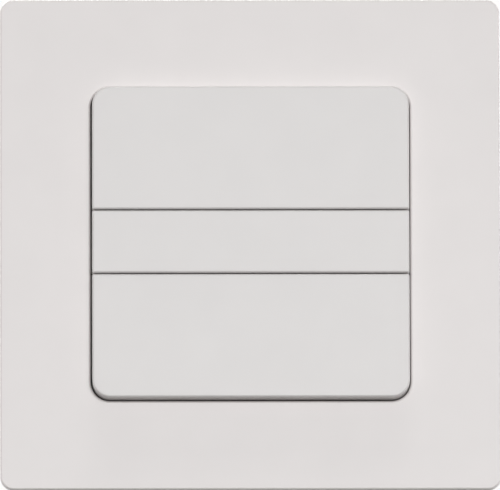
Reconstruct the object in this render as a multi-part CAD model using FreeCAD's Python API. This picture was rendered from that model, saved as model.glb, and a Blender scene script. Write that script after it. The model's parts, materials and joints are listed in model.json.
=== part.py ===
import FreeCAD, Part

import math
import os

"""Battery powered radio transmitter for a wall: a square cover frame round three plain keys.

X runs to the right and Z up, as the keys are seen from the room. The wall is the plane y = 0, and
every depth below is counted from the wall towards the room, so a depth d lies at y = -d.
"""

V = FreeCAD.Vector

# Cover frame
FRAME_BORDER = 14.45
FRAME_OVER_CARRIER = 2.0
FRAME_CORNER = 2.2
FRAME_LAND = 1.1
FRAME_FOOT_INSET = 2.2
FRAME_BACK = 0.3
FRAME_FACE = 1.6
FRAME_WALL = 1.4
FRAME_EDGE = 0.3
FRAME_INNER_EDGE = 0.35
FRAME_COLLAR_WALL = 1.2
FRAME_COLLAR_GAP = 0.3
FRAME_RIB = 1.0

# Keys, in a square field
BAR_KEY = 10.2
KEY_GAP = 0.2
KEY_WIDTH = 50.7
KEY_CORNER = 2.9
KEY_INNER_CORNER = 0.3
KEY_PROUD = 2.2
KEY_EDGE = 0.3
KEY_WALL = 1.2
KEY_FRAME_GAP = 0.2
KEY_SKIRT_LIFT = 0.7
KEY_RIB = 0.8
KEY_RIB_HEIGHT = 0.9

# Hinges of the tall keys
PIVOT_INSET = 3.4
PIVOT_OVER_CARRIER = 1.0
PIN_RADIUS = 0.8
PIN_CLEARANCE = 0.05
SOCKET_INSET = 6.2
SOCKET_WIDTH = 1.6
SOCKET_WALL = 0.75
SOCKET_MOUTH = 1.3
LUG_GAP = 0.3
LUG_WIDTH = 1.2

# Snap legs of the keys
LEG_WIDTH = 3.6
LEG_THICK = 0.9
LEG_GAP = 0.2
BARB = 0.6
BARB_HEIGHT = 0.5
BARB_PLAY = 0.05
TALL_LEG_INSET = 14.2
BAR_LEG_INSET = 10.7
BAR_LEG_Z = 2.0
LEG_WALL_GAP = 0.25

# Wall plate
PLATE_GAP = 0.3
PLATE_CORNER = 3.0
PLATE_THICK = 1.6
PLATE_RIM = 1.2
PLATE_RIM_TOP = 4.5
PLATE_COLLAR = 1.5
SLOT_LENGTH = 7.0
SLOT_RADIUS = 2.1
SLOT_PAD = 1.1
SLOT_PAD_HEIGHT = 0.6
HOOK_WIDTH = 8.0
HOOK_THICK = 1.0
HOOK_GAP = 0.2
HOOK_BARB = 0.8
HOOK_BARB_HEIGHT = 0.8
ARM_WIDTH = 9.0
ARM_SLIT = 0.8
ARM_BARB = 0.6
ARM_BARB_HEIGHT = 1.0

# Module: tray, carrier and board
MODULE_GAP = 0.4
MODULE_ASIDE = 0.06
MODULE_CORNER = 2.0
BASE_BACK = 0.35
BASE_FLOOR = 1.2
BASE_WALL = 1.4
CARRIER_THICK = 1.2
CARRIER_INSET = 0.25
CARRIER_OVER_BOARD = 1.0
BOARD_THICK = 1.0
BOARD_GAP = 0.3
BOARD_NOTCH = 5.6
BOSS_INSET = 4.2
BOSS_HALF = 2.3
BOSS_SPLIT = 4.4
SCREW_RADIUS = 1.1
SCREW_CLEARANCE = 0.15
THREAD_CLEARANCE = 0.03
SCREW_HEAD_RADIUS = 1.9
SCREW_HEAD_HEIGHT = 1.2
SCREW_HEAD_GAP = 0.15
SCREW_END = 6.5
PEG_HALF = 1.0
PEG_LENGTH = 1.6
PEG_GAP = 0.2
SUPPORT_HALF = 1.0
SUPPORT_INSET = 2.2
SUPPORT_Z = 9.0

# Coin cell, 20 mm across and 3.2 mm thick, in its recess
CELL_RADIUS = 10.0
CELL_THICK = 3.2
CELL_PLAY = 0.05
CELL_RIM = 0.4
CUP_INSET = 1.65
CUP_WALL = 1.0
CUP_WEB = 0.8
TAB_THICK = 0.5
TAB_REACH = 0.9
TAB_WIDTH = 4.0
CONTACT_HOLE = 5.0
STRIP_THICK = 0.3
STRIP_WIDTH = 4.0

# Push switches
SWITCH_SIDE = 5.2
SWITCH_HEIGHT = 1.5
SWITCH_PLATE = 0.2
STEM_HALF = 1.0
STEM_GAP = 0.06
STEM_PROUD = 0.4
STEM_HIDDEN = 0.65
STEM_FLOOR_GAP = 0.1
POCKET_GAP = 0.3
SWITCH_TRAVEL = 0.25
SWITCH_INSET = 3.3
WINDOW_GAP = 0.5
POST_REACH = 0.9
POST_BLADE = 0.8
POST_ROOT_REACH = 2.2
POST_ROOT_HEIGHT = 1.2
POST_GAP = 0.04
TERMINAL_WIDTH = 0.7
TERMINAL_THICK = 0.2
TERMINAL_REACH = 0.8
PAIRING_INSET = 8.8
PAIRING_HOLE = 1.7
PAIRING_STEM_SUNK = 0.3

# Parts on the board
CHIP_SIDE = 5.0
CHIP_HEIGHT = 0.8
CHIP_X = -11.0
CHIP_Z = 9.5
CRYSTAL_SIZE = (3.2, 2.5, 0.7)
CRYSTAL_X = -6.0
CRYSTAL_Z = -9.5
CAPACITOR_SIZE = (1.6, 0.8, 0.7)
CAPACITOR_X = 8.5
CAPACITOR_Z = 4.0
CAPACITOR_PITCH = 1.9
CAPACITORS = 6
ANTENNA_INSET = 6.5
ANTENNA_Z = -7.0
ANTENNA_LENGTH = 11.0
ANTENNA_WIDTH = 3.0
ANTENNA_LIFT = 0.5
ANTENNA_FEED = 4.0
ANTENNA_FOOT = 1.2

# Depths that follow, from the wall towards the room
BASE_FLOOR_FRONT = BASE_BACK + BASE_FLOOR
CELL_BACK = BASE_BACK + TAB_THICK + CELL_PLAY
BOARD_BACK = CELL_BACK + CELL_THICK + 2 * CELL_PLAY + CUP_WEB
BOARD_FRONT = BOARD_BACK + BOARD_THICK
SWITCH_FRONT = BOARD_FRONT + SWITCH_HEIGHT
STEM_FRONT = SWITCH_FRONT + STEM_PROUD
BASE_FRONT = BOARD_FRONT + CARRIER_OVER_BOARD
CARRIER_FRONT = BASE_FRONT + CARRIER_THICK
PIVOT_DEPTH = CARRIER_FRONT + PIVOT_OVER_CARRIER
KEY_SKIRT = CARRIER_FRONT + KEY_SKIRT_LIFT
FRAME_DEPTH = CARRIER_FRONT + FRAME_OVER_CARRIER
KEY_FRONT = FRAME_DEPTH + KEY_PROUD
KEY_INSIDE = KEY_FRONT - KEY_WALL
PAIRING_STEM_BACK = BASE_BACK + PAIRING_STEM_SUNK

# Sizes and places across the front that follow, from the key field outwards and inwards
TALL_KEY = (KEY_WIDTH - BAR_KEY) / 2 - KEY_GAP
OPENING = KEY_WIDTH + 2 * KEY_FRAME_GAP
FRAME_SIDE = OPENING + 2 * FRAME_BORDER
FRAME_FOOT = FRAME_SIDE - 2 * FRAME_FOOT_INSET
PLATE_SIDE = FRAME_FOOT - 2 * (FRAME_WALL + PLATE_GAP)
CARRIER_SIDE = KEY_WIDTH - 2 * CARRIER_INSET
WELL = CARRIER_SIDE / 2 - PLATE_COLLAR
MODULE_SIDE = 2 * (WELL - MODULE_GAP)
SLOT_AT = (CARRIER_SIDE / 2 + PLATE_SIDE / 2 - PLATE_RIM) / 2
BASE_INSIDE = MODULE_SIDE / 2 - BASE_WALL
BOARD_SIDE = 2 * (BASE_INSIDE - BOARD_GAP)
BOSS_AT = MODULE_SIDE / 2 - BOSS_INSET
SUPPORT_X = BASE_INSIDE - SUPPORT_INSET
CUP_RADIUS = CELL_RADIUS + CELL_RIM
CELL_X = CUP_RADIUS + CUP_WALL + CUP_INSET - BASE_INSIDE
PAIRING_X = BASE_INSIDE - PAIRING_INSET
PAIRING_Z = BASE_INSIDE - PAIRING_INSET
ANTENNA_X = BASE_INSIDE - ANTENNA_INSET
SWITCH_Z = BOARD_SIDE / 2 - SWITCH_INSET
PIVOT_Z = BAR_KEY / 2 + KEY_GAP + PIVOT_INSET
SOCKET_X = KEY_WIDTH / 2 - SOCKET_INSET
TALL_LEG_X = KEY_WIDTH / 2 - TALL_LEG_INSET
BAR_LEG_X = KEY_WIDTH / 2 - BAR_LEG_INSET
LEG_Z = BASE_INSIDE - LEG_WALL_GAP - BARB - LEG_THICK / 2


def box(x, d, z):
    """A block between two values of x, of depth and of height."""
    block = Part.makeBox(abs(x[1] - x[0]), abs(d[1] - d[0]), abs(z[1] - z[0]))
    return block.translated(V(min(x), -max(d), min(z)))


def square_post(x, z, half, d):
    return box((x - half, x + half), d, (z - half, z + half))


def plug(x, z, radius, d):
    """A round plug along the depth."""
    return Part.makeCylinder(radius, abs(d[1] - d[0]), V(x, -min(d), z), V(0, -1, 0))


def outline(x, z, radii, depth):
    """A wire round a rectangle at one depth; radii run anticlockwise from the lower left, 0 is sharp."""
    corners = [(x[0], z[0]), (x[1], z[0]), (x[1], z[1]), (x[0], z[1])]
    inward = [(1, 1), (-1, 1), (-1, -1), (1, -1)]
    edges, ends = [], []
    for number, ((cx, cz), (sx, sz), r) in enumerate(zip(corners, inward, radii)):
        a, b = V(cx, -depth, cz + sz * r), V(cx + sx * r, -depth, cz)
        if number % 2:
            a, b = b, a
        bulge = r * (1 - math.sqrt(0.5))
        middle = V(cx + sx * bulge, -depth, cz + sz * bulge)
        ends.append((a, b))
        if r > 0:
            edges.append(Part.Arc(a, middle, b).toShape())
    for number, (a, b) in enumerate(ends):
        edges.append(Part.LineSegment(b, ends[(number + 1) % len(ends)][0]).toShape())
    return Part.Wire(Part.sortEdges(edges)[0])


def square(side, radius, depth):
    """A wire round a centred square with four like corners."""
    half = side / 2
    return outline((-half, half), (-half, half), [radius] * 4, depth)


def slab(wire, thickness):
    """What a wire sweeps towards the room."""
    return Part.Face(wire).extrude(V(0, -thickness, 0))


def fused(first, *others):
    return first.multiFuse(list(others)).removeSplitter() if others else first


def front_edges(shape, depth, inside=None):
    """The edges that lie wholly at one depth, and inside or outside a centred square if it is given."""
    found = []
    for edge in shape.Edges:
        bounds = edge.BoundBox
        if abs(bounds.YMin + depth) > 1e-4 or abs(bounds.YMax + depth) > 1e-4:
            continue
        reach = max(abs(value) for value in (bounds.XMin, bounds.XMax, bounds.ZMin, bounds.ZMax))
        if inside is None or (reach < inside[0]) == inside[1]:
            found.append(edge)
    return found


def mirrored_z(shape):
    return shape.mirror(V(0, 0, 0), V(0, 0, 1))


def four_sides(shape):
    """A piece at the right-hand side, and its copies at the other three."""
    return [shape.rotated(V(0, 0, 0), V(0, 1, 0), 90 * turn) for turn in range(4)]


def make_cover_frame():
    """Square frame on a slanting foot: the rim stands free of the wall and its land is narrow."""
    land_back = FRAME_DEPTH - FRAME_LAND
    outer = Part.makeLoft(
        [square(FRAME_FOOT, FRAME_CORNER, FRAME_BACK), square(FRAME_SIDE, FRAME_CORNER, land_back)],
        True,
        True,
    )
    shell = fused(outer, slab(square(FRAME_SIDE, FRAME_CORNER, land_back), FRAME_LAND))
    shell = shell.makeFillet(FRAME_EDGE, front_edges(shell, FRAME_DEPTH))
    ceiling = FRAME_DEPTH - FRAME_FACE
    share = (ceiling - FRAME_BACK) / (land_back - FRAME_BACK)
    ceiling_side = FRAME_FOOT + 2 * FRAME_FOOT_INSET * share
    hollow = Part.makeLoft(
        [
            square(FRAME_FOOT - 2 * FRAME_WALL, 0, FRAME_BACK),
            square(ceiling_side - 2 * FRAME_WALL, 0, ceiling),
        ],
        True,
        True,
    )
    shell = shell.cut(hollow)
    collar_back = BASE_FRONT + FRAME_COLLAR_GAP
    collar_side = OPENING + 2 * FRAME_COLLAR_WALL
    collar = square_post(0, 0, collar_side / 2, (collar_back, ceiling))
    inner_wall = FRAME_FOOT / 2 - FRAME_WALL
    ribs = []
    for across in (-SLOT_AT / 2, SLOT_AT / 2):
        ribs.append(
            box(
                (collar_side / 2 - FRAME_RIB / 2, inner_wall + FRAME_RIB / 2),
                (PLATE_RIM_TOP, ceiling),
                (across - FRAME_RIB / 2, across + FRAME_RIB / 2),
            )
        )
    hook_x = PLATE_SIDE / 2 + HOOK_GAP
    hook_back = PLATE_THICK + HOOK_GAP
    hook = box((hook_x, hook_x + HOOK_THICK), (hook_back, ceiling), (-HOOK_WIDTH / 2, HOOK_WIDTH / 2))
    barb = Part.makePolygon(
        [
            V(hook_x, -hook_back, 0),
            V(hook_x, -hook_back - HOOK_BARB_HEIGHT, 0),
            V(hook_x - HOOK_BARB, -hook_back - HOOK_BARB_HEIGHT, 0),
            V(hook_x - HOOK_BARB * 0.4, -hook_back, 0),
            V(hook_x, -hook_back, 0),
        ]
    )
    barb = Part.Face(barb).extrude(V(0, 0, HOOK_WIDTH)).translated(V(0, 0, -HOOK_WIDTH / 2))
    sides = []
    for piece in ribs + [hook, barb]:
        sides += four_sides(piece)
    shell = fused(shell, collar, *sides)
    window = square(OPENING, KEY_CORNER + KEY_FRAME_GAP, collar_back)
    shell = shell.cut(slab(window, FRAME_DEPTH - collar_back))
    rim = front_edges(shell, FRAME_DEPTH, (OPENING / 2 + FRAME_WALL, True))
    return shell.makeFillet(FRAME_INNER_EDGE, rim)


def make_wall_plate():
    """Plate against the wall: rim for the frame's hooks, collar and snap arms for the module."""
    half, well_corner = PLATE_SIDE / 2, MODULE_CORNER + MODULE_GAP
    plate = slab(square(PLATE_SIDE, PLATE_CORNER, 0), PLATE_RIM_TOP)
    plate = plate.cut(square_post(0, 0, half - PLATE_RIM, (PLATE_THICK, PLATE_RIM_TOP)))
    collar = slab(square(CARRIER_SIDE, well_corner + PLATE_COLLAR, 0), BASE_FRONT)
    run = SLOT_LENGTH / 2 - SLOT_RADIUS
    depths = (0, PLATE_THICK + SLOT_PAD_HEIGHT)
    across = SLOT_RADIUS + SLOT_PAD
    pads = four_sides(box((CARRIER_SIDE / 2, half - PLATE_RIM), depths, (-across, across)))
    middle = box((SLOT_AT - run, SLOT_AT + run), depths, (-SLOT_RADIUS, SLOT_RADIUS))
    ends = [plug(SLOT_AT + side * run, 0, SLOT_RADIUS, depths) for side in (-1, 1)]
    slots = four_sides(fused(middle, *ends))
    window_top = PLATE_THICK + HOOK_BARB_HEIGHT + 2 * HOOK_GAP
    window = box(
        (half - PLATE_RIM - HOOK_GAP, half + HOOK_GAP),
        (PLATE_THICK, window_top),
        (-HOOK_WIDTH / 2 - HOOK_GAP, HOOK_WIDTH / 2 + HOOK_GAP),
    )
    windows = four_sides(window)
    slits = []
    for side in (-1, 1):
        edge = side * ARM_WIDTH / 2
        slit = box(
            (WELL - PLATE_COLLAR, WELL + 2 * PLATE_COLLAR),
            (PLATE_THICK + SLOT_PAD_HEIGHT, BASE_FRONT),
            (edge, edge + side * ARM_SLIT),
        )
        slits += [slit, slit.rotated(V(0, 0, 0), V(0, 1, 0), 180)]
    barb_front = BASE_FRONT - ARM_BARB_HEIGHT / 2
    barb = Part.makePolygon(
        [
            V(WELL, -barb_front, 0),
            V(WELL, -barb_front + ARM_BARB_HEIGHT, 0),
            V(WELL - ARM_BARB, -barb_front + ARM_BARB_HEIGHT, 0),
            V(WELL - ARM_BARB / 2, -barb_front, 0),
            V(WELL, -barb_front, 0),
        ]
    )
    barb = Part.Face(barb).extrude(V(0, 0, ARM_WIDTH)).translated(V(0, 0, -ARM_WIDTH / 2))
    barbs = [barb, barb.rotated(V(0, 0, 0), V(0, 1, 0), 180)]
    plate = fused(plate, collar, *pads)
    plate = plate.cut(slab(square(2 * WELL, well_corner, 0), BASE_FRONT))
    plate = plate.cut(slots + windows + slits)
    return fused(plate, *barbs)


def screw_places():
    """Two opposite corners of the module."""
    return [(-BOSS_AT, BOSS_AT), (BOSS_AT, -BOSS_AT)]


def peg_places():
    """The other two corners."""
    return [(BOSS_AT, BOSS_AT), (-BOSS_AT, -BOSS_AT)]


def support_places():
    return [(sx * SUPPORT_X, sz * SUPPORT_Z) for sx in (-1, 1) for sz in (-1, 1)]


def make_module_base():
    """Rear tray: battery recess open to the wall, bosses, board supports, hole for the pairing stem."""
    tray = slab(square(MODULE_SIDE, MODULE_CORNER, BASE_BACK), BASE_FRONT - BASE_BACK)
    tray = tray.cut(square_post(0, 0, BASE_INSIDE, (BASE_FLOOR_FRONT, BASE_FRONT)))
    cup = plug(CELL_X, 0, CUP_RADIUS + CUP_WALL, (BASE_BACK, BOARD_BACK))
    pillars = []
    for x, z in screw_places() + peg_places():
        sx, sz = math.copysign(1, x), math.copysign(1, z)
        inner = (sx * (BOSS_AT - BOSS_HALF), sz * (BOSS_AT - BOSS_HALF))
        outer = (sx * (BASE_INSIDE + BASE_WALL / 2), sz * (BASE_INSIDE + BASE_WALL / 2))
        pillars.append(box((inner[0], outer[0]), (BASE_BACK, BOSS_SPLIT), (inner[1], outer[1])))
    supports = [square_post(x, z, SUPPORT_HALF, (BASE_BACK, BOARD_BACK)) for x, z in support_places()]
    tray = fused(tray, cup, *pillars, *supports)
    cuts = [
        plug(CELL_X, 0, CUP_RADIUS, (BASE_BACK, BOARD_BACK - CUP_WEB)),
        square_post(CELL_X, 0, CONTACT_HOLE, (BASE_BACK, BOARD_BACK)),
        plug(PAIRING_X, PAIRING_Z, PAIRING_HOLE, (BASE_BACK, BASE_FLOOR_FRONT)),
    ]
    slot_half = STRIP_WIDTH / 2 + CELL_RIM
    cuts.append(
        box(
            (CELL_X + CELL_RADIUS - CELL_RIM, CELL_X + CUP_RADIUS + CUP_WALL + CELL_RIM),
            (BASE_FLOOR_FRONT, BOARD_BACK),
            (-slot_half, slot_half),
        )
    )
    for x, z in screw_places():
        head = SCREW_HEAD_RADIUS + SCREW_HEAD_GAP
        cuts.append(plug(x, z, head, (BASE_BACK, BASE_BACK + SCREW_HEAD_HEIGHT + SCREW_HEAD_GAP)))
        cuts.append(plug(x, z, SCREW_RADIUS + SCREW_CLEARANCE, (BASE_BACK, BOSS_SPLIT)))
    for x, z in peg_places():
        socket_back = BOSS_SPLIT - PEG_LENGTH - PEG_GAP
        cuts.append(square_post(x, z, PEG_HALF + PEG_GAP, (socket_back, BOSS_SPLIT)))
    catch_back = BASE_FRONT - 1.5 * ARM_BARB_HEIGHT - MODULE_GAP
    catch = box(
        (WELL - ARM_BARB - MODULE_GAP / 2, WELL),
        (catch_back, BASE_FRONT - ARM_BARB_HEIGHT / 2 + MODULE_GAP / 2),
        (-ARM_WIDTH / 2 - MODULE_GAP, ARM_WIDTH / 2 + MODULE_GAP),
    )
    cuts += [catch, catch.rotated(V(0, 0, 0), V(0, 1, 0), 180)]
    tray = tray.cut(cuts)
    tabs = []
    tab = box(
        (CELL_X + CUP_RADIUS - TAB_REACH, CELL_X + CUP_RADIUS + CUP_WALL / 2),
        (BASE_BACK, BASE_BACK + TAB_THICK),
        (-TAB_WIDTH / 2, TAB_WIDTH / 2),
    )
    for turn in (60, 180, 300):
        tabs.append(tab.rotated(V(CELL_X, 0, 0), V(0, 1, 0), turn))
    return fused(tray, *tabs)


def leg_slots():
    """Slots of the carrier for the snap legs: x, lowest z and highest z of each, for z > 0 and the bar."""
    out = LEG_Z + LEG_THICK / 2
    tall = (out - LEG_THICK - LEG_GAP, out + LEG_GAP)
    bar = BAR_LEG_Z + LEG_THICK / 2 + LEG_GAP
    return [(TALL_LEG_X, *tall), (TALL_LEG_X, -tall[1], -tall[0]), (BAR_LEG_X, -bar, bar)]


def make_key_carrier():
    """Front plate of the module: windows for the switches, slots for the legs, sockets for the pins."""
    side_corner = MODULE_CORNER + MODULE_GAP + PLATE_COLLAR
    plate = slab(square(CARRIER_SIDE, side_corner, BASE_FRONT), CARRIER_THICK)
    corners = screw_places() + peg_places()
    bosses = [square_post(x, z, BOSS_HALF, (BOSS_SPLIT, BASE_FRONT)) for x, z in corners]
    pegs = [square_post(x, z, PEG_HALF, (BOSS_SPLIT - PEG_LENGTH, BOSS_SPLIT)) for x, z in peg_places()]
    posts = [square_post(x, z, SUPPORT_HALF, (BOARD_FRONT, BASE_FRONT)) for x, z in support_places()]
    sockets = []
    bore = PIN_RADIUS + PIN_CLEARANCE
    for sx in (-1, 1):
        for sz in (-1, 1):
            x, z = sx * SOCKET_X, sz * PIVOT_Z
            ear = box(
                (x - SOCKET_WIDTH / 2, x + SOCKET_WIDTH / 2),
                (CARRIER_FRONT - CARRIER_THICK / 2, PIVOT_DEPTH + bore + SOCKET_WALL / 2),
                (z - bore - SOCKET_WALL, z + bore + SOCKET_WALL),
            )
            mouth = box(
                (x - SOCKET_WIDTH, x + SOCKET_WIDTH),
                (PIVOT_DEPTH, PIVOT_DEPTH + bore + SOCKET_WALL),
                (z - SOCKET_MOUTH / 2, z + SOCKET_MOUTH / 2),
            )
            start = V(x - SOCKET_WIDTH, -PIVOT_DEPTH, z)
            hole = Part.makeCylinder(bore, 2 * SOCKET_WIDTH, start, V(1, 0, 0))
            sockets.append(ear.cut([mouth, hole]))
    frame = fused(plate, *bosses, *pegs, *posts)
    cuts = []
    for z in (-SWITCH_Z, 0, SWITCH_Z):
        half = SWITCH_SIDE / 2 + WINDOW_GAP
        cuts.append(box((-half, half), (BASE_FRONT, CARRIER_FRONT), (z - half, z + half)))
    for x, low, high in leg_slots():
        for sx in (-1, 1):
            reach = LEG_WIDTH / 2 + LEG_GAP
            cuts.append(
                box((sx * x - reach, sx * x + reach), (BASE_FRONT, CARRIER_FRONT), (low, high))
            )
    bore = SCREW_RADIUS + THREAD_CLEARANCE
    for x, z in screw_places():
        cuts.append(plug(x, z, bore, (BOSS_SPLIT, SCREW_END + THREAD_CLEARANCE)))
    return fused(frame.cut(cuts), *sockets)


def key_shell(low, high, radii):
    """A moulded cap, open to the wall, with a rounded front edge."""
    half = KEY_WIDTH / 2
    cap = slab(outline((-half, half), (low, high), radii, KEY_SKIRT), KEY_FRONT - KEY_SKIRT)
    cap = cap.makeFillet(KEY_EDGE, front_edges(cap, KEY_FRONT))
    inner = [max(radius - KEY_WALL, 0) for radius in radii]
    hollow = outline(
        (-half + KEY_WALL, half - KEY_WALL), (low + KEY_WALL, high - KEY_WALL), inner, KEY_SKIRT
    )
    return cap.cut(slab(hollow, KEY_INSIDE - KEY_SKIRT))


def key_post(z):
    """The cross-shaped post that pushes a switch stem, with wider gussets at its root."""
    blades = []
    for reach, back in (
        (POST_REACH, STEM_FRONT + POST_GAP),
        (POST_ROOT_REACH, KEY_INSIDE - POST_ROOT_HEIGHT),
    ):
        depths = (back, KEY_INSIDE + KEY_WALL / 2)
        blades.append(box((-reach, reach), depths, (z - POST_BLADE / 2, z + POST_BLADE / 2)))
        blades.append(box((-POST_BLADE / 2, POST_BLADE / 2), depths, (z - reach, z + reach)))
    return blades


def snap_leg(x, z, outward):
    """A snap leg through the carrier, with a barb that bears on its back."""
    barb_front = BASE_FRONT - BARB_PLAY
    width = (x - LEG_WIDTH / 2, x + LEG_WIDTH / 2)
    leg_back = barb_front - BARB_HEIGHT
    leg = box(width, (leg_back, KEY_INSIDE), (z - LEG_THICK / 2, z + LEG_THICK / 2))
    face = z + outward * LEG_THICK / 2
    barb = box(width, (leg_back, barb_front), (face, face + outward * BARB))
    return [leg, barb]


def make_tall_key():
    """The upper key; the lower one is its mirror image. Pins at the inner end, legs at the far end."""
    low = BAR_KEY / 2 + KEY_GAP
    high = low + TALL_KEY
    inner, outer = KEY_INNER_CORNER, KEY_CORNER
    key = key_shell(low, high, [inner, inner, outer, outer])
    added = key_post(SWITCH_Z)
    for sx in (-1, 1):
        added += snap_leg(sx * TALL_LEG_X, LEG_Z, 1)
        near = SOCKET_X + SOCKET_WIDTH / 2 + LUG_GAP
        lug_z = PIN_RADIUS + PIN_CLEARANCE
        added.append(
            box(
                (sx * near, sx * (near + LUG_WIDTH)),
                (PIVOT_DEPTH - PIN_RADIUS, KEY_INSIDE),
                (PIVOT_Z - lug_z, PIVOT_Z + lug_z),
            )
        )
        pin_start = SOCKET_X - SOCKET_WIDTH / 2 - LUG_GAP
        pin = Part.makeCylinder(
            PIN_RADIUS,
            near + LUG_WIDTH / 2 - pin_start,
            V(sx * pin_start, -PIVOT_DEPTH, PIVOT_Z),
            V(sx, 0, 0),
        )
        added.append(pin)
    rib_front, rib_back = KEY_INSIDE, KEY_INSIDE - KEY_RIB_HEIGHT
    reach = KEY_WIDTH / 2 - KEY_WALL
    past_socket = PIVOT_Z + PIN_RADIUS + PIN_CLEARANCE + SOCKET_WALL + KEY_RIB
    for z in (past_socket, high - KEY_WALL - KEY_RIB):
        added.append(box((-reach, reach), (rib_back, rib_front), (z - KEY_RIB / 2, z + KEY_RIB / 2)))
    for x in (-KEY_WIDTH / 6, KEY_WIDTH / 6):
        added.append(
            box((x - KEY_RIB / 2, x + KEY_RIB / 2), (rib_back, rib_front), (low + KEY_WALL, high - KEY_WALL))
        )
    return fused(key, *added)


def make_middle_key():
    """The low bar between the tall keys, guided by two pairs of snap legs."""
    half = BAR_KEY / 2
    key = key_shell(-half, half, [KEY_INNER_CORNER] * 4)
    added = key_post(0)
    for sx in (-1, 1):
        for sz in (-1, 1):
            added += snap_leg(sx * BAR_LEG_X, sz * BAR_LEG_Z, sz)
    reach = KEY_WIDTH / 2 - KEY_WALL
    added.append(
        box((-reach, reach), (KEY_INSIDE - KEY_RIB_HEIGHT, KEY_INSIDE), (-KEY_RIB / 2, KEY_RIB / 2))
    )
    for x in (-KEY_WIDTH / 6, KEY_WIDTH / 6):
        added.append(
            box(
                (x - KEY_RIB / 2, x + KEY_RIB / 2),
                (KEY_INSIDE - KEY_RIB_HEIGHT, KEY_INSIDE),
                (-half + KEY_WALL, half - KEY_WALL),
            )
        )
    return fused(key, *added)


def make_circuit_board():
    """Board on the cup and the supports, notched for the bosses."""
    half = BOARD_SIDE / 2
    board = square_post(0, 0, half, (BOARD_BACK, BOARD_FRONT))
    inner = half - BOARD_NOTCH
    notches = [
        box(
            (sx * inner, sx * (half + BOARD_GAP)),
            (BOARD_BACK, BOARD_FRONT),
            (sz * inner, sz * (half + BOARD_GAP)),
        )
        for sx in (-1, 1)
        for sz in (-1, 1)
    ]
    return board.cut(notches)


def switch_body(x, z, seat, towards):
    """Square tray of a push switch; towards is 1 for a stem to the room and -1 for one to the wall."""
    front = seat + towards * (SWITCH_HEIGHT - SWITCH_PLATE)
    floor = seat + towards * (SWITCH_HEIGHT - STEM_HIDDEN - SWITCH_TRAVEL - STEM_FLOOR_GAP)
    pocket = square_post(x, z, STEM_HALF + POCKET_GAP, (floor, front))
    return square_post(x, z, SWITCH_SIDE / 2, (seat, front)).cut(pocket)


def switch_plate(x, z, seat, towards):
    """Thin metal cap on a switch body, which guides the stem."""
    depths = (seat + towards * (SWITCH_HEIGHT - SWITCH_PLATE), seat + towards * SWITCH_HEIGHT)
    hole = square_post(x, z, STEM_HALF + STEM_GAP, depths)
    return square_post(x, z, SWITCH_SIDE / 2, depths).cut(hole)


def switch_legs(x, z, seat, towards):
    """Four flat solder legs beside a switch body."""
    legs = []
    half = SWITCH_SIDE / 2
    for sx in (-1, 1):
        for sz in (-1, 1):
            across = z + sz * (half - TERMINAL_WIDTH)
            near = x + sx * half
            legs.append(
                box(
                    (near, near + sx * TERMINAL_REACH),
                    (seat, seat + towards * TERMINAL_THICK),
                    (across - TERMINAL_WIDTH / 2, across + TERMINAL_WIDTH / 2),
                )
            )
    return legs


def make_plunger(z):
    """Square stem of a push switch."""
    return square_post(0, z, STEM_HALF, (SWITCH_FRONT - STEM_HIDDEN, STEM_FRONT))


def make_pairing_plunger():
    """Long stem of the pairing switch, which ends inside the hole of the tray's floor."""
    near = BOARD_BACK - SWITCH_HEIGHT + STEM_HIDDEN
    return square_post(PAIRING_X, PAIRING_Z, STEM_HALF, (PAIRING_STEM_BACK, near))


def make_coin_cell():
    return plug(CELL_X, 0, CELL_RADIUS, (CELL_BACK, CELL_BACK + CELL_THICK))


def make_positive_clip():
    """Strip beside the can, with a foot on the board's back and a rounded nose that meets the rim."""
    half = STRIP_WIDTH / 2
    inner = CELL_X + CELL_RADIUS + CELL_RIM / 2
    low = CELL_BACK + CELL_THICK / 3
    strip = box((inner, inner + STRIP_THICK), (low, BOARD_BACK), (-half, half))
    foot = box((inner, inner + STRIP_WIDTH), (BOARD_BACK - STRIP_THICK, BOARD_BACK), (-half, half))
    nose_depth = CELL_BACK + CELL_THICK / 2
    bulge = CELL_RIM / 2 - STEM_GAP / 2
    nose = Part.makePolygon(
        [
            V(inner, -nose_depth + bulge * 2, 0),
            V(inner - bulge, -nose_depth, 0),
            V(inner, -nose_depth - bulge * 2, 0),
            V(inner, -nose_depth + bulge * 2, 0),
        ]
    )
    nose = Part.Face(nose).extrude(V(0, 0, half)).translated(V(0, 0, -half / 2))
    return fused(strip, foot, nose)


def make_negative_contact():
    """Leaf spring between the board and the cell's cover, bent twice."""
    cell_front = CELL_BACK + CELL_THICK
    half, reach = STRIP_WIDTH / 2, CONTACT_HOLE - CELL_RIM
    drop = BOARD_BACK - STRIP_THICK
    touch = cell_front + STEM_GAP / 2
    bend = reach / 3
    points = [
        (-reach, BOARD_BACK),
        (-bend, BOARD_BACK),
        (bend, touch + STRIP_THICK),
        (reach - STRIP_THICK, touch + STRIP_THICK),
        (reach - STRIP_THICK, touch),
        (bend - STRIP_THICK / 2, touch),
        (-bend - STRIP_THICK / 2, drop),
        (-reach, drop),
        (-reach, BOARD_BACK),
    ]
    wire = Part.makePolygon([V(CELL_X + x, -depth, -half) for x, depth in points])
    return Part.Face(wire).extrude(V(0, 0, STRIP_WIDTH))


def on_board(x, z, size):
    """A block on the board's front."""
    width, height, rise = size
    depths = (BOARD_FRONT, BOARD_FRONT + rise)
    return box((x - width / 2, x + width / 2), depths, (z - height / 2, z + height / 2))


def make_radio_chip():
    chip = on_board(CHIP_X, CHIP_Z, (CHIP_SIDE, CHIP_SIDE, CHIP_HEIGHT))
    return chip.makeChamfer(CHIP_HEIGHT / 8, front_edges(chip, BOARD_FRONT + CHIP_HEIGHT))


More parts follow.
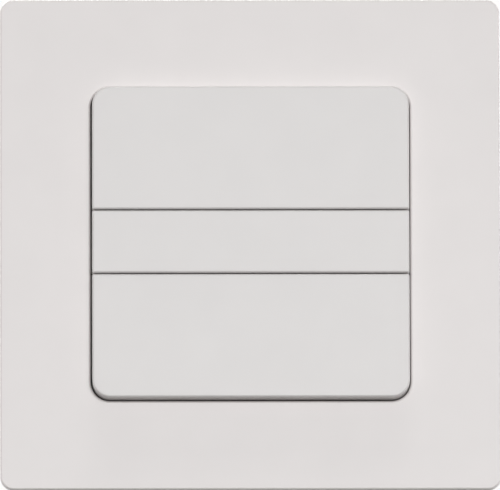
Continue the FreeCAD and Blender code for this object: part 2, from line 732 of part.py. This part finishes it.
def make_crystal():
    can = on_board(CRYSTAL_X, CRYSTAL_Z, CRYSTAL_SIZE)
    return can.makeChamfer(CRYSTAL_SIZE[2] / 5, front_edges(can, BOARD_FRONT + CRYSTAL_SIZE[2]))


def make_capacitors():
    return [
        on_board(CAPACITOR_X, CAPACITOR_Z + number * CAPACITOR_PITCH, CAPACITOR_SIZE)
        for number in range(CAPACITORS)
    ]


def make_antenna():
    """Stamped strip behind the board, on a grounded leg at its end and a narrower feeding leg."""
    back = BASE_FLOOR_FRONT + ANTENNA_LIFT
    low, high = ANTENNA_Z - ANTENNA_LENGTH / 2, ANTENNA_Z + ANTENNA_LENGTH / 2
    near, far = ANTENNA_X - ANTENNA_WIDTH / 2, ANTENNA_X + ANTENNA_WIDTH / 2
    strip = box((near, far), (back, back + STRIP_THICK), (low, high))
    leg = box((near, far), (back, BOARD_BACK), (high - STRIP_THICK, high))
    feed_z = high - ANTENNA_FEED
    feed = box((near, near + STRIP_THICK), (back, BOARD_BACK), (feed_z - ANTENNA_FOOT, feed_z))
    feet = [
        box((near, far), (BOARD_BACK - STRIP_THICK, BOARD_BACK), (high - ANTENNA_FOOT, high)),
        box(
            (near - ANTENNA_FOOT, near + STRIP_THICK),
            (BOARD_BACK - STRIP_THICK, BOARD_BACK),
            (feed_z - ANTENNA_FOOT, feed_z),
        ),
    ]
    return fused(strip, leg, feed, *feet)


def make_screws():
    """Two screws from the back, with cross recesses in flat heads."""
    screws = []
    head_back = BASE_BACK + SCREW_HEAD_GAP
    for x, z in screw_places():
        head = plug(x, z, SCREW_HEAD_RADIUS, (head_back, head_back + SCREW_HEAD_HEIGHT))
        shank = plug(x, z, SCREW_RADIUS, (head_back, SCREW_END))
        arm, depth = SCREW_HEAD_RADIUS * 0.6, (head_back, head_back + SCREW_HEAD_HEIGHT / 2)
        blade = SCREW_HEAD_RADIUS / 8
        cross = [
            box((x - arm, x + arm), depth, (z - blade, z + blade)),
            box((x - blade, x + blade), depth, (z - arm, z + arm)),
        ]
        screws.append(fused(head, shank).cut(cross))
    return screws


def build():
    upper = make_tall_key()
    nodes = {
        "wall_plate": make_wall_plate(),
        "cover_frame": make_cover_frame(),
        "module_base": make_module_base(),
        "key_carrier": make_key_carrier(),
        "upper_key": upper,
        "middle_key": make_middle_key(),
        "lower_key": mirrored_z(upper),
        "circuit_board": make_circuit_board(),
        "coin_cell": make_coin_cell(),
        "battery_positive_clip": make_positive_clip(),
        "battery_negative_contact": make_negative_contact(),
        "radio_chip": make_radio_chip(),
        "crystal": make_crystal(),
        "chip_capacitors": make_capacitors(),
        "antenna_strip": make_antenna(),
        "housing_screws": make_screws(),
    }
    plates, legs = [], []
    for name, z in (("upper", SWITCH_Z), ("middle", 0), ("lower", -SWITCH_Z)):
        nodes[name + "_switch_body"] = switch_body(0, z, BOARD_FRONT, 1)
        nodes[name + "_switch_plunger"] = make_plunger(z)
        plates.append(switch_plate(0, z, BOARD_FRONT, 1))
        legs += switch_legs(0, z, BOARD_FRONT, 1)
    pairing = (PAIRING_X, PAIRING_Z, BOARD_BACK, -1)
    nodes["pairing_switch_body"] = switch_body(*pairing)
    nodes["pairing_plunger"] = make_pairing_plunger()
    plates.append(switch_plate(*pairing))
    legs += switch_legs(*pairing)
    nodes["switch_cover_plates"] = plates
    nodes["switch_terminals"] = legs
    return nodes


def seated(shape):
    """The module and its keys sit a little to the right in their play, as in the photograph."""
    return shape.translated(V(MODULE_ASIDE, 0, 0))


def main():
    os.makedirs("parts", exist_ok=True)
    for name, shape in build().items():
        solid = Part.makeCompound(shape) if isinstance(shape, list) else shape
        if name not in ("wall_plate", "cover_frame"):
            solid = seated(solid)
        solid.exportStep("parts/" + name + ".step")
        valid = solid.isValid()
        print(name, len(solid.Solids), "solids", round(solid.Volume, 2), "mm3", "valid" if valid else "BAD")


main()
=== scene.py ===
import json
import math

import bmesh
import bpy
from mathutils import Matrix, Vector


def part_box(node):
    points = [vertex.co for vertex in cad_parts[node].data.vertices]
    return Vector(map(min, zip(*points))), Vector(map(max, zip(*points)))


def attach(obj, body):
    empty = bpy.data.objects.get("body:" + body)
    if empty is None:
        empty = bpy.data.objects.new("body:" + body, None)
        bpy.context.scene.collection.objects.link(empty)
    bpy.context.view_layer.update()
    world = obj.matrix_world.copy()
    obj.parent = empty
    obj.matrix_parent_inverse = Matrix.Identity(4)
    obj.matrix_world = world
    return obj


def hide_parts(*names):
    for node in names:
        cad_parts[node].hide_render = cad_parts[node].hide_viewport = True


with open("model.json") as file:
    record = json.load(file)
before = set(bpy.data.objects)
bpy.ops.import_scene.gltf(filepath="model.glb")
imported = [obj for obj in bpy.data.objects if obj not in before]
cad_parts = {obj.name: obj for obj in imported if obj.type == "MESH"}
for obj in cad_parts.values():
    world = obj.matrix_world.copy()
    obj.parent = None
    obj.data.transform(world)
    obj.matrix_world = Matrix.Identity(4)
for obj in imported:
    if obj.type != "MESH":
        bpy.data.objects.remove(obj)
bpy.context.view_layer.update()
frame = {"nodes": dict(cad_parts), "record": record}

# Looks of the wall remote: its materials, soft studio light and the photograph's camera.
# Lengths are in metres, colours are sRGB from 0 to 255, and angles are in degrees.
MM = 0.001

# Camera: far away with a long lens, a little below the switch
CAMERA_AZIMUTH = -0.5
CAMERA_ELEVATION = -11.8
CAMERA_ROLL = 0.15
CAMERA_DISTANCE = 3.5
CAMERA_NEAR = 0.1
CAMERA_FAR = 20.0
VIEW_WIDTH = 79.95 * MM
AIM_SIDE = -0.05 * MM
AIM_RISE = -0.15 * MM
SENSOR = 36.0

# Studio
FLOOR_DROP = 2.0
FLOOR_SIDE = 12.0
FLOOR_COLOURS = ((236, 235, 233), (241, 240, 238))
FLOOR_CLOUD = 0.4
FLOOR_ROUGHNESS = 0.9
BACKGROUND = (255, 254, 253)
WORLD_LIGHT = 0.18
LAMPS = {
    # name: (place, width and height, watts, spread)
    "softbox_front": ((0.53, -4.0, 0.5), (3.0, 1.3), 12.0, 60),
    "softbox_back": ((-0.6, 2.0, 1.5), (2.0, 1.2), 7.0, 60),
    "softbox_left": ((-2.4, 0.3, 0.1), (0.6, 1.0), 1.4, 40),
    "softbox_right": ((2.4, 0.3, 0.1), (0.6, 1.0), 2.0, 40),
    "softbox_top": ((0.0, -0.3, 2.4), (1.0, 0.6), 1.2, 40),
}

# Moulded plastics. Relief is the depth of the grain, mottle the share by which the colour varies,
# uneven the share by which the roughness varies, and edge the radius that sharp edges seem to have
FRONT_FINISH = {"roughness": 0.285, "grain": 0.35 * MM, "relief": 0.002 * MM, "mottle": 0.005, "uneven": 0.03}
PLASTICS = {
    "frame_white": {"colour": (232, 227, 226), **FRONT_FINISH},
    "key_white": {"colour": (226, 223, 222), **FRONT_FINISH},
    "plate_white": {
        "colour": (218, 216, 211),
        "roughness": 0.5,
        "grain": 0.3 * MM,
        "relief": 0.008 * MM,
        "mottle": 0.01,
        "edge": 0.25 * MM,
    },
    "module_dark": {
        "colour": (58, 55, 54),
        "roughness": 0.5,
        "grain": 0.25 * MM,
        "relief": 0.012 * MM,
        "mottle": 0.04,
        "edge": 0.2 * MM,
    },
    "chip_black": {
        "colour": (38, 38, 40),
        "roughness": 0.55,
        "grain": 0.15 * MM,
        "relief": 0.006 * MM,
        "mottle": 0.05,
        "edge": 0.1 * MM,
    },
    "capacitor_tan": {
        "colour": (176, 148, 112),
        "roughness": 0.45,
        "grain": 0.2 * MM,
        "relief": 0.004 * MM,
        "mottle": 0.04,
        "edge": 0.1 * MM,
    },
    "switch_black": {
        "colour": (44, 44, 45),
        "roughness": 0.5,
        "grain": 0.2 * MM,
        "relief": 0.006 * MM,
        "mottle": 0.04,
        "edge": 0.15 * MM,
    },
    "stem_plastic": {
        "colour": (214, 210, 200),
        "roughness": 0.4,
        "grain": 0.2 * MM,
        "relief": 0.004 * MM,
        "mottle": 0.02,
        "edge": 0.2 * MM,
    },
}
PLASTIC_CLOUD = 9 * MM
PLASTIC_PATCH = 3 * MM

# Metals. Stretch draws the fine lines out along the axes with the smaller numbers; tone and gloss
# give the lowest and highest share of a colour and of a roughness
METALS = {
    "contact_steel": {"colour": (210, 208, 203), "roughness": 0.26, "stretch": (8, 1, 1), "edge": 0.05 * MM},
    "screw_steel": {"colour": (192, 192, 193), "roughness": 0.34, "stretch": (1, 6, 1), "edge": 0.15 * MM},
    "antenna_brass": {"colour": (212, 184, 120), "roughness": 0.28, "stretch": (8, 1, 1), "edge": 0.05 * MM},
}
METAL_LINES = 0.4 * MM
METAL_CLOUD = 5 * MM
METAL_RELIEF = 0.004 * MM
METAL_TONE = (0.94, 1.03)
METAL_GLOSS = (0.8, 1.25)
CELL_COLOUR = (206, 204, 200)
CELL_ROUGHNESS = 0.3
CELL_RINGS = 0.6 * MM
CELL_TONE = (0.97, 1.02)
CELL_GLOSS = (0.75, 1.3)

# Circuit board: lacquer over tracks round pads; track sizes are shares of the pads' pitch
LACQUER = (23, 78, 43)
LACQUER_ON_COPPER = (34, 100, 56)
PAD_PITCH = 2.6 * MM
TRACK_STEP = 0.11
TRACK_EDGE = (0.05, 0.07)
BOARD_GLOSS = (0.25, 0.38)
BOARD_PATCH = 2 * MM
TRACK_RELIEF = 0.03 * MM
BOARD_EDGE = 0.1 * MM

# Coin cell, in mm, turned round its own axis; depths count from its back towards the room
TURNED_STEPS = 96
SMOOTH_BELOW = 40
CELL_SHEET = 0.25
CELL_BEND = 0.5
CAN_ROLL = 0.35
CAN_ROLL_TURN = 110
CAN_LIP = 0.1
CAN_SHORT = 0.2
SEAL_GAP = 0.15
SEAL_WIDTH = 0.45
SEAL_SUNK = 0.1
COVER_GAP = 0.05
COVER_FOOT = 0.1


def linear(colour):
    """An sRGB colour of 0 to 255 as linear values."""
    shares = [value / 255 for value in colour]
    return [s / 12.92 if s <= 0.04045 else ((s + 0.055) / 1.055) ** 2.4 for s in shares]


def rgba(colour):
    return (*linear(colour), 1.0)


def shaded(colour, factor):
    return tuple(min(255, value * factor) for value in colour)


class Nodes:
    """A material under construction: nodes are added by type and joined by socket names."""

    def __init__(self, name):
        self.material = bpy.data.materials.new(name)
        self.material.use_nodes = True
        self.tree = self.material.node_tree
        self.shader = self.tree.nodes["Principled BSDF"]
        self.place = self.add("ShaderNodeTexCoord").outputs["Object"]

    def add(self, kind, **settings):
        node = self.tree.nodes.new(kind)
        for key, value in settings.items():
            setattr(node, key, value)
        return node

    def link(self, source, target):
        self.tree.links.new(source, target)

    def noise(self, size, detail=2.0, stretch=None):
        """Cloudy noise whose patches are about size metres across, drawn out along an axis if wished."""
        place = self.place
        if stretch:
            mapping = self.add("ShaderNodeMapping")
            mapping.inputs["Scale"].default_value = stretch
            self.link(place, mapping.inputs["Vector"])
            place = mapping.outputs["Vector"]
        noise = self.add("ShaderNodeTexNoise")
        noise.inputs["Scale"].default_value = 1 / size
        noise.inputs["Detail"].default_value = detail
        self.link(place, noise.inputs["Vector"])
        return noise.outputs["Fac"]

    def rings(self, size, centre):
        """Noise that varies only with the distance from a line along Y through a centre."""
        shift = self.add("ShaderNodeVectorMath", operation="SUBTRACT")
        shift.inputs[1].default_value = centre
        self.link(self.place, shift.inputs[0])
        flat = self.add("ShaderNodeVectorMath", operation="MULTIPLY")
        flat.inputs[1].default_value = (1, 0, 1)
        self.link(shift.outputs["Vector"], flat.inputs[0])
        radius = self.add("ShaderNodeVectorMath", operation="LENGTH")
        self.link(flat.outputs["Vector"], radius.inputs[0])
        noise = self.add("ShaderNodeTexNoise", noise_dimensions="1D")
        noise.inputs["Scale"].default_value = 1 / size
        noise.inputs["Detail"].default_value = 3.0
        self.link(radius.outputs["Value"], noise.inputs["W"])
        return noise.outputs["Fac"]

    def colours(self, factor, low, high):
        """Colour that goes from low to high with a factor's middle range."""
        ramp = self.add("ShaderNodeValToRGB")
        for element, position, colour in zip(ramp.color_ramp.elements, (0.3, 0.7), (low, high)):
            element.position = position
            element.color = rgba(colour)
        self.link(factor, ramp.inputs["Fac"])
        self.link(ramp.outputs["Color"], self.shader.inputs["Base Color"])

    def roughness(self, factor, low, high):
        spread = self.add("ShaderNodeMapRange")
        spread.inputs["To Min"].default_value = low
        spread.inputs["To Max"].default_value = high
        self.link(factor, spread.inputs["Value"])
        self.link(spread.outputs["Result"], self.shader.inputs["Roughness"])

    def relief(self, height, depth, edge=0.0):
        """Fine relief of a depth in metres, over sharp edges that catch the light as if they had a radius."""
        bump = self.add("ShaderNodeBump")
        bump.inputs["Distance"].default_value = depth
        self.link(height, bump.inputs["Height"])
        if edge:
            bevel = self.add("ShaderNodeBevel", samples=4)
            bevel.inputs["Radius"].default_value = edge
            self.link(bevel.outputs["Normal"], bump.inputs["Normal"])
        self.link(bump.outputs["Normal"], self.shader.inputs["Normal"])


def plastic(name, colour, roughness, grain, relief, mottle, edge=0.0, uneven=0.1):
    """Moulded plastic: faintly cloudy colour, slightly uneven gloss and a fine grain."""
    m = Nodes(name)
    m.colours(m.noise(PLASTIC_CLOUD), shaded(colour, 1 - mottle), shaded(colour, 1 + mottle))
    m.roughness(m.noise(PLASTIC_PATCH, 4.0), roughness * (1 - uneven), roughness * (1 + uneven))
    m.relief(m.noise(grain, 3.0), relief, edge)
    return m.material


def metal(name, colour, roughness, stretch, edge):
    """Plated or bare sheet: fine lines along one direction and slightly uneven tone."""
    m = Nodes(name)
    m.shader.inputs["Metallic"].default_value = 1.0
    lines = m.noise(METAL_LINES, 3.0, stretch)
    m.colours(m.noise(METAL_CLOUD, 4.0), *(shaded(colour, share) for share in METAL_TONE))
    m.roughness(lines, *(roughness * share for share in METAL_GLOSS))
    m.relief(lines, METAL_RELIEF, edge)
    return m.material


def turned_metal(name, colour, roughness, centre):
    """Sheet finished on a lathe: fine rings round a centre, and slightly uneven tone."""
    m = Nodes(name)
    m.shader.inputs["Metallic"].default_value = 1.0
    rings = m.rings(CELL_RINGS, centre)
    m.colours(m.noise(METAL_CLOUD, 4.0), *(shaded(colour, share) for share in CELL_TONE))
    m.roughness(rings, *(roughness * share for share in CELL_GLOSS))
    m.relief(rings, METAL_RELIEF)
    return m.material


def circuit_board(name):
    """Green lacquer over copper tracks that run in steps between bare pads."""
    m = Nodes(name)
    cells = m.add("ShaderNodeTexVoronoi", feature="F1", distance="CHEBYCHEV")
    cells.inputs["Scale"].default_value = 1 / PAD_PITCH
    m.link(m.place, cells.inputs["Vector"])
    tracks = m.add("ShaderNodeMath", operation="PINGPONG")
    tracks.inputs[1].default_value = TRACK_STEP
    m.link(cells.outputs["Distance"], tracks.inputs[0])
    raised = m.add("ShaderNodeMapRange")
    raised.inputs["From Min"].default_value = TRACK_EDGE[0]
    raised.inputs["From Max"].default_value = TRACK_EDGE[1]
    m.link(tracks.outputs["Value"], raised.inputs["Value"])
    m.colours(raised.outputs["Result"], LACQUER, LACQUER_ON_COPPER)
    m.roughness(m.noise(BOARD_PATCH, 3.0), *BOARD_GLOSS)
    m.relief(raised.outputs["Result"], TRACK_RELIEF, BOARD_EDGE)
    return m.material


def make_materials():
    """One material for each slot of the record."""
    low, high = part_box("coin_cell")
    materials = {slot: plastic(slot, **finish) for slot, finish in PLASTICS.items()}
    materials.update({slot: metal(slot, **finish) for slot, finish in METALS.items()})
    materials["board_green"] = circuit_board("board_green")
    materials["cell_steel"] = turned_metal("cell_steel", CELL_COLOUR, CELL_ROUGHNESS, (low + high) / 2)
    return materials


def dress(nodes, record, materials):
    """Every CAD node gets the material of its slot."""
    for row in record["subparts"]:
        piece = nodes[row["node"]]
        piece.data.materials.clear()
        piece.data.materials.append(materials[row["material_slot"]])


def arc(middle, radius, start, end, steps=6):
    """Points on an arc from a start to an end angle."""
    turns = [math.radians(start + (end - start) * step / steps) for step in range(steps + 1)]
    return [(middle[0] + radius * math.cos(t), middle[1] + radius * math.sin(t)) for t in turns]


def lathed(name, profile, centre):
    """A closed profile of (radius, depth) in mm, turned round the line of +Y through a centre."""
    bm = bmesh.new()
    rings = []
    for radius, depth in profile:
        count = TURNED_STEPS if radius > 0 else 1
        ring = []
        for number in range(count):
            turn = 2 * math.pi * number / count
            across, up = radius * MM * math.cos(turn), radius * MM * math.sin(turn)
            ring.append(bm.verts.new((centre.x + across, centre.y - depth * MM, centre.z + up)))
        rings.append(ring)
    for ring, other in zip(rings, rings[1:] + rings[:1]):
        for number in range(TURNED_STEPS):
            corners = []
            for side, at in ((ring, number), (ring, number + 1), (other, number + 1), (other, number)):
                corner = side[at % len(side)]
                if corner not in corners:
                    corners.append(corner)
            if len(corners) > 2:
                bm.faces.new(corners)
    bmesh.ops.recalc_face_normals(bm, faces=bm.faces)
    mesh = bpy.data.meshes.new(name)
    bm.to_mesh(mesh)
    bm.free()
    mesh.polygons.foreach_set("use_smooth", [True] * len(mesh.polygons))
    mesh.set_sharp_from_angle(angle=math.radians(SMOOTH_BELOW))
    obj = bpy.data.objects.new(name, mesh)
    bpy.context.scene.collection.objects.link(obj)
    return obj


def can_profile(radius, thick):
    """Cup of the cell: rounded at its back, rolled in at its rim, with the inner wall on the way back."""
    rim = thick - CAN_SHORT
    roll = (radius - CAN_ROLL, rim - CAN_ROLL)
    return [
        (0, 0),
        *arc((radius - CELL_BEND, CELL_BEND), CELL_BEND, -90, 0),
        *arc(roll, CAN_ROLL, 0, CAN_ROLL_TURN),
        (roll[0] - CAN_LIP, rim - CELL_SHEET),
        (radius - CELL_SHEET, rim - CAN_ROLL - CELL_SHEET),
        (radius - CELL_SHEET, CELL_BEND),
        (radius - CELL_BEND, CELL_SHEET),
        (0, CELL_SHEET),
    ]


def seal_profile(inner, thick):
    """Ring between can and cover, with a round front."""
    half = SEAL_WIDTH / 2
    front = thick - CAN_SHORT - SEAL_SUNK
    return [(inner, CELL_SHEET), (inner + SEAL_WIDTH, CELL_SHEET), *arc((inner + half, front), half, 0, 180)]


def cover_profile(outer, thick):
    """Cap of the cell: the inner wall first, then the foot and the rounded front."""
    inside, foot = outer - CELL_SHEET, CELL_SHEET + COVER_FOOT
    return [
        (0, thick - CELL_SHEET),
        (outer - CELL_BEND, thick - CELL_SHEET),
        (inside, thick - CELL_BEND),
        (inside, foot),
        (outer, foot),
        *arc((outer - CELL_BEND, thick - CELL_BEND), CELL_BEND, 0, 90),
        (0, thick),
    ]


def make_coin_cell(materials):
    """Button cell in place of the CAD disc: rounded can with a rolled rim, sealing ring and cover."""
    low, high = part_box("coin_cell")
    radius, thick = (high.x - low.x) / 2 / MM, (high.y - low.y) / MM
    centre = Vector(((low.x + high.x) / 2, high.y, (low.z + high.z) / 2))
    seal_inner = radius - CAN_ROLL - SEAL_GAP - SEAL_WIDTH
    for name, profile, slot in (
        ("coin_cell_can", can_profile(radius, thick), "cell_steel"),
        ("coin_cell_seal", seal_profile(seal_inner, thick), "switch_black"),
        ("coin_cell_cover", cover_profile(seal_inner - COVER_GAP, thick), "cell_steel"),
    ):
        piece = lathed(name, profile, centre)
        piece.data.materials.append(materials[slot])
        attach(piece, "housing")
        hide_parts("coin_cell")


def make_floor():
    mesh = bpy.data.meshes.new("floor")
    half = FLOOR_SIDE / 2
    corners = [(-half, -half), (half, -half), (half, half), (-half, half)]
    mesh.from_pydata([(x, y, -FLOOR_DROP) for x, y in corners], [], [(0, 1, 2, 3)])
    floor = bpy.data.objects.new("floor", mesh)
    bpy.context.scene.collection.objects.link(floor)
    m = Nodes("floor_paper")
    m.colours(m.noise(FLOOR_CLOUD), *FLOOR_COLOURS)
    m.shader.inputs["Roughness"].default_value = FLOOR_ROUGHNESS
    floor.data.materials.append(m.material)


def aimed(obj, place, target):
    """Puts a lamp or camera at a place and points it at a target."""
    obj.location = place
    obj.rotation_euler = (Vector(target) - Vector(place)).to_track_quat("-Z", "Y").to_euler()
    bpy.context.scene.collection.objects.link(obj)


def make_lamps():
    for name, (place, (width, height), watts, spread) in LAMPS.items():
        lamp = bpy.data.lights.new(name, "AREA")
        lamp.shape = "RECTANGLE"
        lamp.size = width
        lamp.size_y = height
        lamp.energy = watts
        lamp.spread = math.radians(spread)
        aimed(bpy.data.objects.new(name, lamp), place, (0, 0, 0))


def make_world():
    """White to the camera and in reflections, a dimmer white as light."""
    world = bpy.data.worlds.new("studio")
    bpy.context.scene.world = world
    world.use_nodes = True
    tree = world.node_tree
    tree.nodes.clear()
    path = tree.nodes.new("ShaderNodeLightPath")
    seen = path.outputs["Is Camera Ray"]
    for ray in ("Is Glossy Ray", "Is Transmission Ray"):
        larger = tree.nodes.new("ShaderNodeMath")
        larger.operation = "MAXIMUM"
        tree.links.new(seen, larger.inputs[0])
        tree.links.new(path.outputs[ray], larger.inputs[1])
        seen = larger.outputs["Value"]
    mix = tree.nodes.new("ShaderNodeMixShader")
    tree.links.new(seen, mix.inputs["Fac"])
    for socket, strength in ((1, WORLD_LIGHT), (2, 1.0)):
        light = tree.nodes.new("ShaderNodeBackground")
        light.inputs["Color"].default_value = rgba(BACKGROUND)
        light.inputs["Strength"].default_value = strength
        tree.links.new(light.outputs["Background"], mix.inputs[socket])
    output = tree.nodes.new("ShaderNodeOutputWorld")
    tree.links.new(mix.outputs["Shader"], output.inputs["Surface"])


def make_camera():
    """Looks at the middle of the cover frame's front."""
    azimuth, elevation = math.radians(CAMERA_AZIMUTH), math.radians(CAMERA_ELEVATION)
    level = math.cos(elevation)
    back = Vector((math.sin(azimuth) * level, -math.cos(azimuth) * level, math.sin(elevation)))
    aim = Vector((AIM_SIDE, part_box("cover_frame")[0].y, AIM_RISE))
    camera = bpy.data.cameras.new("camera")
    camera.sensor_width = SENSOR
    camera.lens = SENSOR * CAMERA_DISTANCE / VIEW_WIDTH
    camera.clip_start = CAMERA_NEAR
    camera.clip_end = CAMERA_FAR
    obj = bpy.data.objects.new("camera", camera)
    aimed(obj, aim + back * CAMERA_DISTANCE, aim)
    obj.rotation_euler.rotate_axis("Z", -math.radians(CAMERA_ROLL))
    bpy.context.scene.camera = obj


bpy.context.scene.view_settings.view_transform = "Standard"
materials = make_materials()
dress(frame["nodes"], frame["record"], materials)
make_coin_cell(materials)
make_floor()
make_lamps()
make_world()
make_camera()
